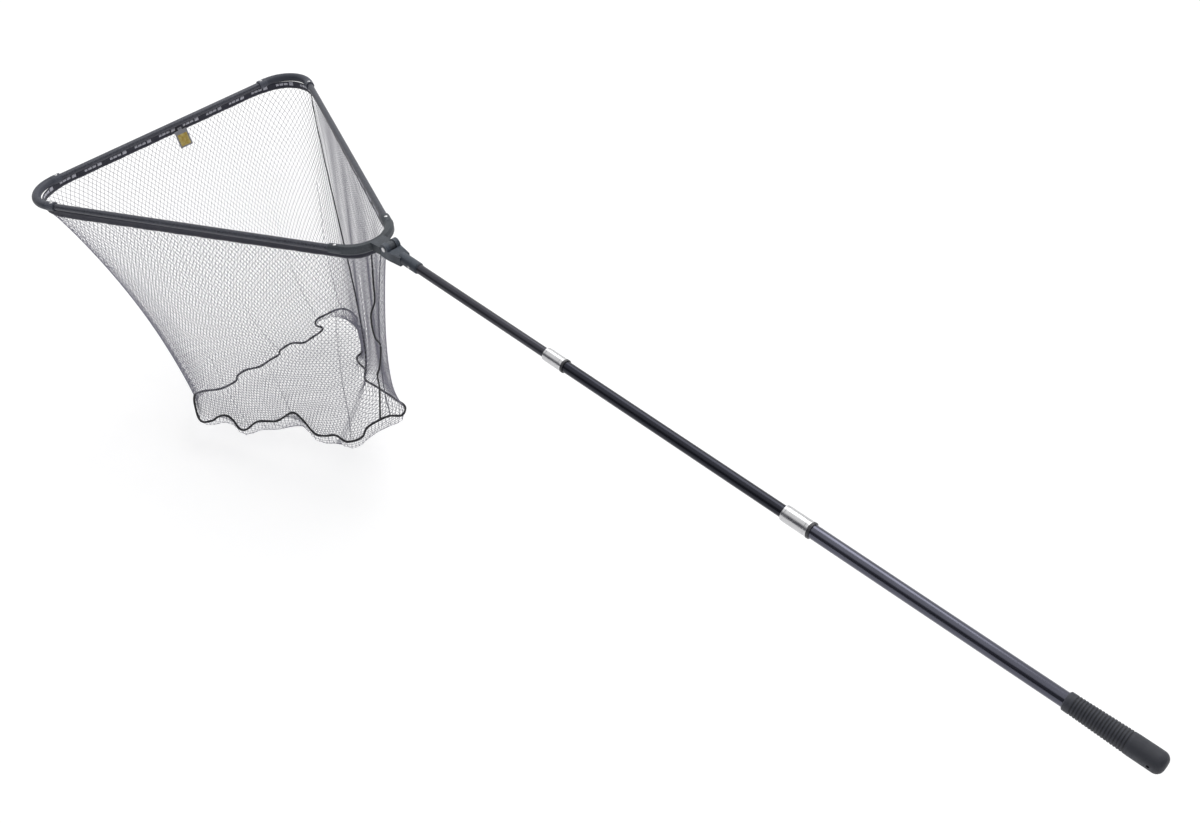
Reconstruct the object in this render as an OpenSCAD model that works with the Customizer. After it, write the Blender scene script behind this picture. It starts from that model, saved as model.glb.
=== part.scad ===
// Telescopic landing net: a three-section handle with twist-lock collars,
// a folding triangular head of round tubes, and a deep net bag.
// +X runs from the head to the butt of the grip, +Z is up, and the origin
// is the middle of the grip's plain butt stretch, on the handle's axis.

/* [Head frame] */
// Width between the points where the lines of the frame tubes meet
head_w = 780; // [740:5:800]
// Depth from the rear meeting point to the front bar's axis
head_d = 900; // [880:5:920]
// Outer diameter of the frame tubes
frame_od = 14; // [13:0.5:15]
// Wall of the frame tubes
frame_wall = 1.3; // [1.0:0.1:1.6]
// Outer diameter of the corner connectors
corner_od = 19; // [18:0.5:21]
// Bend radius of the corner connectors
corner_r = 68; // [60:1:75]
// Bend radius of the yoke
yoke_r = 66; // [62:1:70]
// How far the open head droops below the handle's line, in degrees
droop = 6.7; // [5:0.1:8]

/* [Net] */
// Depth of the hem tape below the frame tubes' axes
tape_h = 27; // [22:1:32]
// Thickness of the hem tape
tape_t = 1.2; // [0.8:0.1:1.6]
// Depth of the bottom panel below the frame, at its front edge
bag_front_d = 548; // [500:5:580]
// Depth of the bottom panel below the frame, at its rear tip
bag_rear_d = 450; // [420:5:480]
// How far the bottom panel sags below its binding
bag_sag = 22; // [15:1:30]
// Thickness of the solid that stands for the netting
net_t = 0.6; // [0.5:0.1:1]
// Diameter of the binding cord round the bottom panel
binding_d = 5.5; // [4:0.5:6]
// Diameter of the two rear seam cords
seam_d = 4.5; // [3.5:0.5:5]

/* [Handle] */
// Outer diameter of the upper tube
upper_od = 19; // [18.8:0.1:19.2]
// Outer diameter of the middle tube
middle_od = 22; // [21.9:0.1:22.2]
// Outer diameter of the lower tube
lower_od = 25; // [24.9:0.1:25.2]
// Wall of the handle tubes
tube_wall = 1.2; // [1.1:0.05:1.25]
// Length of the upper collar
collar_upper_len = 46; // [42:1:50]
// Length of the lower collar
collar_lower_len = 53; // [48:1:56]
// Diameter of the grip where it starts
grip_d1 = 31; // [29:0.5:32]
// Diameter of the grip at its butt
grip_d2 = 36; // [34:0.5:38]
// Diameter of the cord hole through the butt
cord_hole_d = 5; // [4:0.5:6]

/* [Hidden] */
$fn = 48;

// Stations along the handle, counted from the rear meeting point of the frame lines
st_origin = 1581;
st_block0 = -66;
st_block1 = -12;
st_upper0 = -15;
st_neck1 = 32;
st_nut1 = 385;
st_nut1e = st_nut1 + collar_upper_len;
st_upper1 = 511;
st_nut2 = 938;
st_nut2e = st_nut2 + collar_lower_len;
st_middle1 = 1068;
st_grip0 = 1455;
st_flare = 1562;
st_lower1 = 1582;
st_round = 1600;
st_butt = 1612;
st_cord = 1593;
mouth = 14; // the collar's front face to the outer tube's mouth

rt1 = upper_od / 2;
rt2 = middle_od / 2;
rt3 = lower_od / 2;
rf = frame_od / 2;
rc = corner_od / 2;

// Fold axis: its station, and its height over the handle's axis
st_pivot = -55;
pivot_z = 10;
pin_r = 3;
frame_z = -10; // frame plane below the fold axis, in the head's own frame
slit = 2.2;    // slot in the frame tubes for the tape

// Half angle of the head at the yoke, and of a front corner
ha = atan2(head_w / 2, head_d);
hb = (90 - ha) / 2;
arm_len = norm([head_w / 2, head_d]);
corner_t = corner_r / tan(hb);
yoke_t = yoke_r / tan(ha);
sock = 18;      // depth of a corner socket
yoke_sock = 26; // depth of a yoke socket

// Bag rings: [distance in front of the rear meeting point, half width]
inset = 6.5;
ring_top = [[head_d - inset, head_w / 2 - corner_t - 17], [head_d - 112, (head_d - 112) * tan(ha) - inset / cos(ha)], [118, 35]];
ring_low = [[609, 210], [549, 250], [95, 30]];
function low_d(a) = bag_rear_d + (a - 95) * (bag_front_d - bag_rear_d) / (609 - 95);

// A point of the frame plane, then straight down by d: result in the part's frame
function pt(a, y, d) = let (xl = -(a + st_pivot), zl = frame_z)
    [st_pivot - st_origin + xl * cos(droop) - zl * sin(droop), y, pivot_z + xl * sin(droop) + zl * cos(droop) - d];
function unit(v) = v / norm(v);
// Moves the corners of a four-cornered panel towards each other along its width
function shrink(q, g) = [
    q[0] + unit(q[1] - q[0]) * g, q[1] + unit(q[0] - q[1]) * g,
    q[2] + unit(q[3] - q[2]) * g, q[3] + unit(q[2] - q[3]) * g];
// A ring's outline, right side from the front to the rear, then the left side back
function outline(r) = concat([for (p = r) p], [for (i = [len(r) - 1:-1:0]) [r[i][0], -r[i][1]]]);
function side_n(p, q) = let (e = unit(q - p)) [-e[1], e[0]];
// The outline grown outwards by g, with mitred corners
function grown(o, g) = [for (i = [0:len(o) - 1])
    let (n1 = side_n(o[(i + len(o) - 1) % len(o)], o[i]), n2 = side_n(o[i], o[(i + 1) % len(o)]))
    o[i] + (n1 + n2) * g / (1 + n1 * n2)];

module at(h) { translate([h - st_origin, 0, 0]) children(); }
// The head's own frame: origin on the fold axis, tilted down by the droop
module head() { translate([st_pivot - st_origin, 0, pivot_z]) rotate([0, -droop, 0]) children(); }
// From the rear meeting point along the right arm
module right_arm(s) { translate([-st_pivot, 0, frame_z]) rotate([0, 0, 180 - ha]) translate([s, 0, 0]) children(); }
module side(s) { if (s > 0) children(); else mirror([0, 1, 0]) children(); }
// A tube along +X from 0
module pipe(l, ro, ri) { rotate([0, 90, 0]) difference() { cylinder(r = ro, h = l); translate([0, 0, -1]) cylinder(r = ri, h = l + 2); } }
module rod(l, r) { rotate([0, 90, 0]) cylinder(r = r, h = l); }
// A solid of revolution about X, from [station, radius] points
module turned(p) { rotate([0, 90, 0]) rotate_extrude($fn = 64) polygon([for (q = p) [q[1], q[0]]]); }
module along() { rotate([90, 0, 90]) children(); }
module bar_between(p, q, r) {
    v = q - p;
    translate(p) rotate([0, acos(v[2] / norm(v)), atan2(v[1], v[0])]) cylinder(r = r, h = norm(v), $fn = 24);
}

// ---- head frame ----
module rail_shape() {
    difference() {
        circle(r = rf);
        circle(r = rf - frame_wall);
        rotate(-50) translate([0, -slit / 2]) square([rf + 2, slit]);
    }
}
module rivet_hole() { translate([0, 0, -20]) cylinder(r = 2, h = 40, $fn = 24); }
// a rivet's hole with a flat seat for each head, h from the middle
module rivet_seat(h) {
    rivet_hole();
    for (m = [0, 1]) mirror([0, 0, m]) translate([0, 0, h]) cylinder(r = 3.75, h = 6, $fn = 32);
}
module frame_arm(s) {
    s0 = yoke_t + 2;
    s1 = arm_len - corner_t - 1;
    color([0.17, 0.18, 0.21]) head() side(s) difference() {
        right_arm(s0) along() linear_extrude(s1 - s0) rail_shape();
        right_arm(yoke_t + 13) rivet_hole();
        right_arm(arm_len - corner_t - 10) rivet_hole();
    }
}
module frame_arm_left() { frame_arm(-1); }
module frame_arm_right() { frame_arm(1); }
bar_half = head_w / 2 - corner_t - 1;
module at_bar(y) { translate([-st_pivot - head_d, y, frame_z]) children(); }
module front_bar() {
    color([0.17, 0.18, 0.21]) head() difference() {
        at_bar(bar_half) rotate([0, 0, -90]) along() linear_extrude(2 * bar_half) rail_shape();
        for (y = [-1, 1]) at_bar(y * (bar_half - 9)) rivet_hole();
    }
}
module corner(s) {
    color([0.36, 0.38, 0.42]) head() side(s) difference() {
        union() {
            translate([-st_pivot - head_d + corner_r, head_w / 2 - corner_t, frame_z])
                rotate([0, 0, 90 - ha]) rotate_extrude(angle = 90 + ha, $fn = 96) translate([corner_r, 0]) circle(r = rc);
            // socket ends, a little thicker than the bend
            at_bar(head_w / 2 - corner_t - sock) rotate([-90, 0, 0]) cylinder(r = rc + 0.4, h = sock + 3);
            right_arm(arm_len - corner_t - sock) rod(sock + 3, rc + 0.4);
        }
        at_bar(head_w / 2 - corner_t - sock - 1) rotate([-90, 0, 0]) cylinder(r = rf + 0.02, h = sock + 1);
        right_arm(arm_len - corner_t - sock - 1) rod(sock + 1, rf + 0.02);
        at_bar(bar_half - 9) rivet_seat(rc - 0.2);
        right_arm(arm_len - corner_t - 10) rivet_seat(rc - 0.2);
    }
}
module corner_left() { corner(-1); }
module corner_right() { corner(1); }

// Square section of the yoke, its corners cut by c
module yoke_shape(w, c) {
    h = w / 2;
    polygon([[h, c - h], [h, h - c], [h - c, h], [c - h, h], [-h, h - c], [-h, c - h], [c - h, -h], [h - c, -h]]);
}
yoke_w = 19;
yoke_x = -st_pivot - yoke_r / sin(ha); // bend centre of the yoke
band_x = yoke_x + yoke_r;              // its band's middle, in front of the fold axis
module yoke() {
    color([0.40, 0.43, 0.45]) head() difference() {
        union() {
            translate([yoke_x, 0, frame_z]) rotate([0, 0, ha - 90])
                rotate_extrude(angle = 180 - 2 * ha, $fn = 96) translate([yoke_r, 0]) yoke_shape(yoke_w, 4.5);
            for (s = [-1, 1]) side(s) right_arm(yoke_t - 5) rod(yoke_sock + 5, yoke_w / 2 + 0.6);
            // shoulder behind the band, as wide as the head block
            translate([band_x, -17, frame_z - 8]) cube([-13.7 - band_x, 34, 18]);
            // hinge lug
            rotate([90, 0, 0]) translate([0, 0, -7]) linear_extrude(14) polygon([[-16, frame_z + 8], [-16, -14], [-3, -8.5], [4, -7], [4, 8]]);
            rotate([90, 0, 0]) translate([0, 0, -7]) cylinder(r = 9, h = 14);
        }
        for (s = [-1, 1]) side(s) {
            right_arm(yoke_t + 1) rod(yoke_sock, rf + 0.02);
            right_arm(yoke_t + 13) rivet_seat(yoke_w / 2 - 0.1);
        }
        rotate([90, 0, 0]) translate([0, 0, -20]) cylinder(r = pin_r + 0.04, h = 40);
        // socket of the lock bolt's nose, level while the head is open, and a groove for its shank
        rotate([0, droop, 0]) translate([-22, 0, bolt_z - pivot_z]) rod(16, 1.9);
        rotate([0, droop, 0]) translate([-10, 0, bolt_z - pivot_z]) rod(13, 3.1);
        // relief under the socket, so that only a thin lip stands behind the nose
        rotate([90, 0, 0]) translate([0, 0, -2.3]) linear_extrude(4.6)
            polygon([[-18.6, -19], [-18.6, -15.5], [-15.6, -15.2], [-15, -13], [-2, -12.5], [-2, -19]]);
    }
}
module rivet(l) {
    translate([0, 0, -l / 2]) cylinder(r = 1.98, h = l, $fn = 24);
    for (m = [0, 1]) mirror([0, 0, m]) translate([0, 0, l / 2]) intersection() {
        cylinder(r = 3.6, h = 1.2, $fn = 24);
        translate([0, 0, -5]) sphere(r = 6.15, $fn = 32);
    }
}
module yoke_rivet(s) { color("silver") head() side(s) right_arm(yoke_t + 13) rivet(yoke_w - 0.18); }
module yoke_rivet_left() { yoke_rivet(-1); }
module yoke_rivet_right() { yoke_rivet(1); }
module arm_rivet(s) { color("silver") head() side(s) right_arm(arm_len - corner_t - 10) rivet(corner_od - 0.38); }
module arm_rivet_left() { arm_rivet(-1); }
module arm_rivet_right() { arm_rivet(1); }
module bar_rivet(s) { color("silver") head() at_bar(s * (bar_half - 9)) rivet(corner_od - 0.38); }
module bar_rivet_left() { bar_rivet(-1); }
module bar_rivet_right() { bar_rivet(1); }

// Hem tape: a bead in the tube, a neck through the slot, then a hanging strip
module tape_shape() {
    circle(r = 3.6, $fn = 24);
    polygon([[2.4 * cos(50) - 0.5, -2.4 * sin(50) - 0.5], [5.6, -8.2], [5.6, -tape_h], [5.6 + tape_t, -tape_h], [5.6 + tape_t, -7.4], [2.4 * cos(50) + 0.5, -2.4 * sin(50) + 0.5]]);
}
module tape_arm(s) {
    s0 = yoke_t + yoke_sock + 1;
    s1 = arm_len - corner_t - sock - 1;
    color([0.13, 0.14, 0.17]) head() side(s) right_arm(s0) along() linear_extrude(s1 - s0) tape_shape();
}
module tape_left() { tape_arm(-1); }
module tape_right() { tape_arm(1); }
module tape_front() {
    l = head_w / 2 - corner_t - sock - 1;
    color([0.13, 0.14, 0.17]) head() at_bar(l) rotate([0, 0, -90]) along() linear_extrude(2 * l) tape_shape();
}

// ---- net bag ----
// A thin four-cornered panel: q runs top left, top right, bottom right, bottom left
module panel(q0, t) {
    q = shrink(q0, 1.4);
    n = unit(cross(q[1] - q[0], q[3] - q[0])) * t;
    p = concat(q, [for (v = q) v + n]);
    polyhedron(points = p, faces = [[0, 1, 2], [0, 2, 3], [4, 6, 5], [4, 7, 6],
        [0, 5, 1], [0, 4, 5], [1, 6, 2], [1, 5, 6], [2, 7, 3], [2, 6, 7], [3, 4, 0], [3, 7, 4]]);
}
top_out = outline(ring_top);
low_out = outline(ring_low);
module wall(i) {
    n = len(top_out);
    j = (i + 1) % n;
    color([0.72, 0.72, 0.78, 0.6]) panel([
        pt(top_out[i][0], top_out[i][1], tape_h + 1), pt(top_out[j][0], top_out[j][1], tape_h + 1),
        pt(low_out[j][0], low_out[j][1], low_d(low_out[j][0]) + bag_sag), pt(low_out[i][0], low_out[i][1], low_d(low_out[i][0]) + bag_sag)], net_t);
}
module net_corner_right() { wall(0); }
module net_right() { wall(1); }
module net_rear() { wall(2); }
module net_left() { wall(3); }
module net_corner_left() { wall(4); }
module net_front() { wall(5); }
module net_bottom() {
    n = len(low_out);
    u = [for (o = low_out) pt(o[0], o[1], low_d(o[0]) + bag_sag + 1)];
    v = [for (o = u) o - [0, 0, net_t]];
    color([0.70, 0.70, 0.76, 0.6]) polyhedron(points = concat(u, v), faces = concat(
        [for (i = [1:n - 2]) [0, i, i + 1]], [for (i = [1:n - 2]) [n, n + i + 1, n + i]],
        [for (i = [0:n - 1]) [i, n + i, (i + 1) % n]], [for (i = [0:n - 1]) [(i + 1) % n, n + i, n + (i + 1) % n]]));
}
// A closed loop of round cord through points p
module loop_of_cord(p, r, m) {
    n = len(p);
    ring = [for (i = [0:n - 1])
        let (t = unit(p[(i + 1) % n] - p[(i + n - 1) % n]), u = unit(cross(t, [0, 0, 1])), v = cross(u, t))
        for (k = [0:m - 1]) p[i] + r * (u * cos(360 * k / m) + v * sin(360 * k / m))];
    polyhedron(points = ring, faces = [for (i = [0:n - 1], k = [0:m - 1])
        let (a = i * m + k, b = i * m + (k + 1) % m, c = ((i + 1) % n) * m + (k + 1) % m, d = ((i + 1) % n) * m + k)
        each [[a, b, c], [a, c, d]]]);
}
module binding_bottom() {
    g = grown(low_out, binding_d / 2 + 1.6);
    n = len(g);
    // each corner of the loop is a short bend of three points
    q = [for (i = [0:n - 1]) let (a = unit(g[(i + n - 1) % n] - g[i]) * 9, b = unit(g[(i + 1) % n] - g[i]) * 9)
        each [g[i] + a, g[i] + (a + b) * 0.22, g[i] + b]];
    color([0.05, 0.05, 0.06]) loop_of_cord([for (o = q) pt(o[0], o[1], low_d(o[0]))], binding_d / 2, 12);
}
module seam(s) {
    a = grown(top_out, -(seam_d / 2 + 1.4))[2];
    b = grown(low_out, -(seam_d / 2 + 1.4))[2];
    color([0.05, 0.05, 0.06]) side(s) bar_between(pt(a[0], a[1], tape_h), pt(b[0], b[1], low_d(b[0]) - binding_d / 2 - 2.5), seam_d / 2);
}
module seam_left() { seam(-1); }
module seam_right() { seam(1); }
module tag() {
    color([0.78, 0.66, 0.24]) head() at_bar(34) translate([8.2, -16, -8]) rotate([0, -16, 0]) translate([0, 0, -46]) difference() {
        union() {
            cube([1, 32, 40]);
            translate([0, 11, 39]) cube([1, 10, 7]);
        }
        translate([-1, 16, 43.2]) rotate([0, 90, 0]) cylinder(r = 1.2, h = 3, $fn = 24);
    }
}

// ---- head block ----
bolt_z = -4.4;
module head_block() {
    color([0.36, 0.40, 0.45]) at(0) difference() {
        union() {
            translate([0, 0, -11.5]) linear_extrude(20.5) polygon([[st_block0, -17], [-44, -17], [st_block1, -12.4], [st_block1, 12.4], [-44, 17], [st_block0, 17]]);
            // cheeks round the fold axis
            translate([st_pivot, 17, pivot_z]) rotate([90, 0, 0]) cylinder(r = 11, h = 34);
            translate([st_block0, -17, 0]) cube([22, 34, pivot_z]);
            // stop ledge under the yoke's shoulder
            translate([-80, -13, -15.5]) cube([34, 26, 4.2]);
            // neck sleeve
            translate([-20, 0, 0]) rod(st_neck1 + 20 - 3, 11.8);
            translate([st_neck1 - 3, 0, 0]) rotate([0, 90, 0]) cylinder(r1 = 11.8, r2 = 10.4, h = 3);
        }
        translate([-82, -7.4, -8]) cube([39, 14.8, 40]);
        translate([st_upper0, 0, 0]) rod(60, rt1 + 0.01);
        translate([st_pivot, 20, pivot_z]) rotate([90, 0, 0]) cylinder(r = pin_r + 0.01, h = 40);
        // bolt guide, spring chamber and the slot of its thumb tab
        translate([-50, 0, bolt_z]) rod(20, 2.66);
        translate([-34, 0, bolt_z]) rod(17, 5);
        translate([-34.3, -3.2, -16]) cube([13.6, 6.4, 14]);
        // neck rivet
        translate([12, 20, 0]) rotate([90, 0, 0]) cylinder(r = 1.6, h = 40, $fn = 24);
        for (m = [0, 1]) mirror([0, m, 0]) translate([12, -11.4, 0]) rotate([90, 0, 0]) cylinder(r = 3.2, h = 4, $fn = 32);
    }
}
module hinge_pin() {
    color("silver") at(st_pivot) translate([0, 0, pivot_z]) rotate([90, 0, 0]) {
        translate([0, 0, -17.2]) cylinder(r = pin_r, h = 34.4);
        for (z = [-18.6, 17.2]) translate([0, 0, z]) cylinder(r = 5, h = 1.4);
    }
}
module lock_bolt() {
    color([0.15, 0.15, 0.17]) at(0) difference() {
        union() {
            translate([-73.5, 0, bolt_z]) rod(12, 1.6);
            translate([-63.5, 0, bolt_z]) rod(32.5, 2.6);
            translate([-33.8, 0, bolt_z]) rod(2.8, 4.6);
            translate([-33.8, -2.8, -14]) cube([2.8, 5.6, 11]);
            translate([-37, -7, -16.4]) cube([15, 14, 3]);
        }
        for (i = [0:3]) translate([-35.2 + 3.4 * i, -8, -17]) cube([1.4, 16, 1.2]);
    }
}
module lock_spring() {
    color("silver") at(0) for (i = [0:4]) translate([-30.4 + 2.9 * i, 0, bolt_z]) rotate([0, 90, 0])
        rotate_extrude($fn = 32) translate([3.6, 0]) circle(r = 0.45, $fn = 16);
}
module neck_rivet() {
    color("silver") at(12) rotate([90, 0, 0]) {
        translate([0, 0, -11.8]) cylinder(r = 1.58, h = 23.6, $fn = 24);
        for (m = [0, 1]) mirror([0, 0, m]) translate([0, 0, 11.42]) cylinder(r1 = 3, r2 = 2, h = 1, $fn = 24);
    }
}

// ---- handle ----
module upper_tube() {
    color([0.17, 0.18, 0.20]) difference() {
        at(st_upper0) pipe(st_upper1 - st_upper0, rt1, rt1 - tube_wall);
        at(12) translate([0, 20, 0]) rotate([90, 0, 0]) cylinder(r = 1.6, h = 40, $fn = 24);
    }
}
// Guide plug on the tail of a sliding tube: ri is the tube's bore, rg the bore it runs in
module tail_plug(ri, rg) {
    color([0.1, 0.1, 0.1]) difference() {
        union() { translate([-14, 0, 0]) rod(14.5, ri - 0.01); rod(8, rg - 0.05); }
        translate([-20, 0, 0]) rod(40, ri - 2.4);
    }
}
module upper_tail_plug() { at(st_upper1) tail_plug(rt1 - tube_wall, rt2 - tube_wall); }
module middle_tail_plug() { at(st_middle1) tail_plug(rt2 - tube_wall, rt3 - tube_wall); }
module middle_tube() { color([0.14, 0.15, 0.17]) at(st_nut1 + mouth) pipe(st_middle1 - st_nut1 - mouth, rt2, rt2 - tube_wall); }
module lower_tube() { color([0.22, 0.25, 0.30]) at(st_nut2 + mouth) pipe(st_lower1 - st_nut2 - mouth, rt3, rt3 - tube_wall); }
module lower_end_plug() {
    color([0.1, 0.1, 0.1]) at(st_lower1) { translate([-12, 0, 0]) rod(12, rt3 - tube_wall - 0.01); }
}
// Twist nut: rt is the sliding tube, rs the seat, ro the outside
module twist_nut(l, rt, rs, ro) {
    color([0.80, 0.81, 0.83]) turned([
        [0, rt + 0.35], [0, ro - 1.4], [1.2, ro - 0.3], [5, ro - 0.3], [5.4, ro - 0.7], [6.6, ro - 0.7], [7, ro],
        [l - 7, ro], [l - 6.6, ro - 0.4], [l - 5.4, ro - 0.4], [l - 5, ro], [l - 0.8, ro], [l, ro - 0.6],
        [l, rs + 0.05], [mouth - 0.4, rs + 0.05], [mouth - 1, rt + 1.9], [4.2, rt + 1.3], [4.2, rt + 0.35]]);
}
// Threaded seat with its black shoulder ring: ro is the outer tube
module seat(l, ro, rs, rr) {
    color([0.06, 0.06, 0.07]) turned(concat(
        [[mouth, ro], [mouth, rs - 0.3]],
        [for (i = [0:5]) each [[mouth + 1 + 3 * i, rs - 0.3], [mouth + 1.6 + 3 * i, rs], [mouth + 2.4 + 3 * i, rs], [mouth + 3 + 3 * i, rs - 0.3]]],
        [[mouth + 20, rs - 0.3], [mouth + 20.4, rs], [l + 0.4, rs], [l + 0.4, rr - 0.4], [l + 0.8, rr], [l + 4.8, rr], [l + 5.4, rr - 0.6], [l + 5.4, ro]]));
}
// Split collet round the sliding tube
module collet(rt, ro) {
    color([0.85, 0.85, 0.80]) difference() {
        turned([[4.6, rt + 0.05], [4.6, rt + 0.9], [mouth - 1.4, rt + 1.5], [mouth - 0.1, rt + 1.5], [mouth - 0.1, rt + 0.05]]);
        for (i = [0:3]) rotate([90 * i + 45, 0, 0]) translate([3, -0.6, rt - 2]) cube([mouth - 6, 1.2, 6]);
    }
}
rs1 = rt2 + 1.0;
rs2 = rt3 + 1.0;
module collar_upper() { at(st_nut1) twist_nut(collar_upper_len, rt1, rs1, 12.9); }
module collar_upper_seat() { at(st_nut1) seat(collar_upper_len, rt2, rs1, 13.3); }
module collar_upper_collet() { at(st_nut1) collet(rt1, rt2); }
module collar_lower() { at(st_nut2) twist_nut(collar_lower_len, rt2, rs2, 14.5); }
module collar_lower_seat() { at(st_nut2) seat(collar_lower_len, rt3, rs2, 15); }
module collar_lower_collet() { at(st_nut2) collet(rt2, rt3); }

// Ribbed rubber grip, closed and rounded at the butt, with a cord hole
g1 = grip_d1 / 2;
g2 = grip_d2 / 2;
rib_n = 18;
rib_p = (st_flare - st_grip0 - 17) / rib_n;
function grip_r(x) = g1 + (g2 - g1) * x / (st_flare - st_grip0);
module grip() {
    l0 = st_round - st_grip0;
    color([0.20, 0.20, 0.22]) at(st_grip0) difference() {
        turned(concat(
            [[0, rt3 + 0.01], [0, rt3 + 1.4], [1.5, g1]],
            [for (i = [0:rib_n - 1]) let (x = 12 + rib_p * i) each [[x, grip_r(x)], [x + 0.8, grip_r(x) - 0.8], [x + 2, grip_r(x) - 0.8], [x + 2.8, grip_r(x)]]],
            [[st_flare - st_grip0, g2], [l0, g2]],
            [for (i = [1:7]) [l0 + 12 * sin(90 * i / 7), g2 - 12 + 12 * cos(90 * i / 7)]],
            [[st_butt - st_grip0, 0], [st_lower1 - st_grip0, 0], [st_lower1 - st_grip0, rt3 + 0.01]]));
        translate([st_cord - st_grip0, 30, 0]) rotate([90, 0, 0]) cylinder(r = cord_hole_d / 2, h = 60, $fn = 32);
    }
}

frame_arm_left();
frame_arm_right();
front_bar();
corner_left();
corner_right();
yoke();
yoke_rivet_left();
yoke_rivet_right();
arm_rivet_left();
arm_rivet_right();
bar_rivet_left();
bar_rivet_right();
tape_left();
tape_right();
tape_front();
net_front();
net_left();
net_right();
net_corner_left();
net_corner_right();
net_rear();
net_bottom();
binding_bottom();
seam_left();
seam_right();
tag();
head_block();
hinge_pin();
lock_bolt();
lock_spring();
neck_rivet();
upper_tube();
upper_tail_plug();
collar_upper();
collar_upper_seat();
collar_upper_collet();
middle_tube();
middle_tail_plug();
collar_lower();
collar_lower_seat();
collar_lower_collet();
lower_tube();
lower_end_plug();
grip();
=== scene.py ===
"""Landing net: folding triangular head, knotless net bag, three-part telescopic handle.
Everything is in metres, in the CAD frame: +X from the head to the butt, +Z up."""
import math

import bpy
import numpy as np
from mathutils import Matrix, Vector


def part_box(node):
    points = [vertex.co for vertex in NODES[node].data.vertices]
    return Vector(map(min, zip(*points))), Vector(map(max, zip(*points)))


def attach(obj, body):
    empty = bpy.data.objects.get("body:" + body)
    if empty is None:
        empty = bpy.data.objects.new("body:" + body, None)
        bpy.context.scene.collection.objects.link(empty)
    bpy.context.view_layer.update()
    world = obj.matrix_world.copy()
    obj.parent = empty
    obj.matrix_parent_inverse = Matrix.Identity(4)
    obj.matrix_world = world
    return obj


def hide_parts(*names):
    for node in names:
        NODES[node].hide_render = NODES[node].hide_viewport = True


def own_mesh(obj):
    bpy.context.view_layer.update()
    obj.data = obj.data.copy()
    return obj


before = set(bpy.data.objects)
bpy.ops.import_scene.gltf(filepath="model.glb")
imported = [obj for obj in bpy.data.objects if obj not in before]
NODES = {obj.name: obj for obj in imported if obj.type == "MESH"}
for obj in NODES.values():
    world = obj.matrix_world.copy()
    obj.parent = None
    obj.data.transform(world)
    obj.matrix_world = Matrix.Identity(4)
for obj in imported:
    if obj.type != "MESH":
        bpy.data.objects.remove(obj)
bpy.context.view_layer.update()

# ------------------------------------------------------------------ camera
AZ, EL = math.radians(44.2), math.radians(44.2)
back = Vector((math.sin(AZ) * math.cos(EL), -math.cos(AZ) * math.cos(EL), math.sin(EL)))
cam_data = bpy.data.cameras.new("camera")
cam_data.lens, cam_data.sensor_width = 42.0, 36.0
cam_data.clip_start, cam_data.clip_end = 0.02, 60
cam = bpy.data.objects.new("camera", cam_data)
bpy.context.scene.collection.objects.link(cam)
cam.location = (0.1977, -1.2931, 1.6994)
cam.rotation_mode = "QUATERNION"
cam.rotation_quaternion = (-back).to_track_quat("-Z", "Y")
bpy.context.scene.camera = cam


# ------------------------------------------------------------------ node helpers
def tree(name):
    m = bpy.data.materials.new(name)
    m.use_nodes = True
    return m, m.node_tree, m.node_tree.nodes["Principled BSDF"]


def node(nt, kind, **values):
    n = nt.nodes.new(kind)
    for k, v in values.items():
        if k.startswith("in_"):
            n.inputs[k[3:].replace("_", " ")].default_value = v
        else:
            setattr(n, k, v)
    return n


def coords(nt, scale=(1, 1, 1), rot=(0, 0, 0)):
    tc = node(nt, "ShaderNodeTexCoord")
    mp = node(nt, "ShaderNodeMapping")
    mp.inputs["Scale"].default_value = scale
    mp.inputs["Rotation"].default_value = rot
    nt.links.new(tc.outputs["Object"], mp.inputs["Vector"])
    return mp.outputs["Vector"]


def noise(nt, vec, scale, detail=4, rough=0.55):
    n = node(nt, "ShaderNodeTexNoise")
    n.inputs["Scale"].default_value = scale
    n.inputs["Detail"].default_value = detail
    n.inputs["Roughness"].default_value = rough
    nt.links.new(vec, n.inputs["Vector"])
    return n.outputs["Fac"]


def remap(nt, fac, a, b, to_a, to_b, smooth=False):
    n = node(nt, "ShaderNodeMapRange")
    if smooth:
        n.interpolation_type = "SMOOTHSTEP"
    for k, v in zip(("From Min", "From Max", "To Min", "To Max"), (a, b, to_a, to_b)):
        n.inputs[k].default_value = v
    nt.links.new(fac, n.inputs["Value"])
    return n.outputs["Result"]


def math_node(nt, op, a, b=None, clamp=False):
    n = node(nt, "ShaderNodeMath", operation=op, use_clamp=clamp)
    for i, v in enumerate((a, b)):
        if v is None:
            continue
        if isinstance(v, (int, float)):
            n.inputs[i].default_value = v
        else:
            nt.links.new(v, n.inputs[i])
    return n.outputs[0]


def mix(nt, fac, a, b, blend="MIX"):
    n = node(nt, "ShaderNodeMix", data_type="RGBA", blend_type=blend)
    ins = {s.identifier: s for s in n.inputs}
    for key, v in (("Factor_Float", fac), ("A_Color", a), ("B_Color", b)):
        s = ins[key]
        if isinstance(v, (int, float)):
            s.default_value = v
        elif isinstance(v, tuple):
            s.default_value = v if len(v) == 4 else (*v, 1)
        else:
            nt.links.new(v, s)
    return [o for o in n.outputs if o.identifier == "Result_Color"][0]


def bump(nt, height, strength, distance, under=None):
    n = node(nt, "ShaderNodeBump")
    n.inputs["Strength"].default_value = strength
    n.inputs["Distance"].default_value = distance
    nt.links.new(height, n.inputs["Height"])
    if under is not None:
        nt.links.new(under, n.inputs["Normal"])
    return n.outputs["Normal"]


def scaled(c, k):
    return tuple(min(1.0, v * k) for v in c)


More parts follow.
